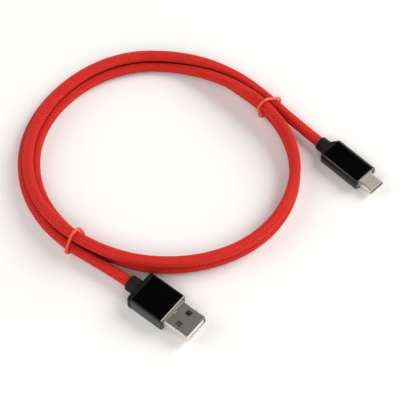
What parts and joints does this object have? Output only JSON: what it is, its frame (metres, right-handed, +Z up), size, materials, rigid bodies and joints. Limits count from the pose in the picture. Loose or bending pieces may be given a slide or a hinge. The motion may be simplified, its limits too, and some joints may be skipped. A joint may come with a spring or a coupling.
{
  "type": "charging cable",
  "caption": "Braided charging cable wound in a loose coil held by soft ring ties, with a flat A-type plug on one end and a small oblong C-type plug on the other.",
  "frame": {"origin": "middle of the underside of the A plug, on the surface the cable lies on", "axes": "+X is the way the A plug goes into its port, +Z is up, +Y is across the plug towards the coil"},
  "size_m": [0.141, 0.119, 0.0128],
  "materials": {
    "plug_metal": "drawn sheet steel, nickel plated, satin",
    "shield_metal": "thin tinned sheet, bright",
    "insulator_white": "moulded white nylon",
    "insulator_black": "moulded black nylon",
    "contact_gold": "gold flash over nickel",
    "spring_metal": "thin spring sheet",
    "solder": "bright solder",
    "conductor": "insulated stranded wire",
    "core_jacket": "smooth inner jacket",
    "inner_mould": "low-pressure inner moulding",
    "housing_black": "gloss black moulded sleeve, polished front edge",
    "cap_black": "matt black moulded cap",
    "boot_black": "matt black soft moulded boot",
    "card_green": "solder-masked circuit card",
    "resistor_black": "chip resistor",
    "cord_braid": "red polyester braid over the cable",
    "tie_rubber": "soft translucent orange-red ring"
  },
  "bodies": {
    "cable": {"a_shell": "plug_metal", "a_insulator": "insulator_white", "a_contacts": "contact_gold", "a_shield_can": "shield_metal", "a_solder_joints": "solder", "a_conductors": "conductor", "a_cable_core": "core_jacket", "a_inner_mould": "inner_mould", "a_housing": "housing_black", "a_end_cap": "cap_black", "a_boot": "boot_black", "c_shell": "plug_metal", "c_insulator": "insulator_black", "c_contacts_upper": "contact_gold", "c_contacts_lower": "contact_gold", "c_latch_springs": "spring_metal", "c_ground_springs": "spring_metal", "c_circuit_card": "card_green", "c_resistor": "resistor_black", "c_solder_joints": "solder", "c_conductors": "conductor", "c_cable_core": "core_jacket", "c_shield_can": "shield_metal", "c_inner_mould": "inner_mould", "c_housing": "housing_black", "c_end_cap": "cap_black", "c_boot": "boot_black", "cord_coil": "cord_braid", "cord_tail_a": "cord_braid", "cord_tail_c": "cord_braid"},
    "tie_a": {"tie_near_a": "tie_rubber"},
    "tie_c": {"tie_near_c": "tie_rubber"}
  },
  "joints": [
    {"name": "tie_a_slide", "type": "slide", "parent": "cable", "child": "tie_a", "axis": [-0.9999, -0.0156, 0], "range_m": [-0.002, 0.002]},
    {"name": "tie_c_slide", "type": "slide", "parent": "cable", "child": "tie_c", "axis": [0.9827, -0.1851, 0], "range_m": [-0.002, 0.002]}
  ]
}
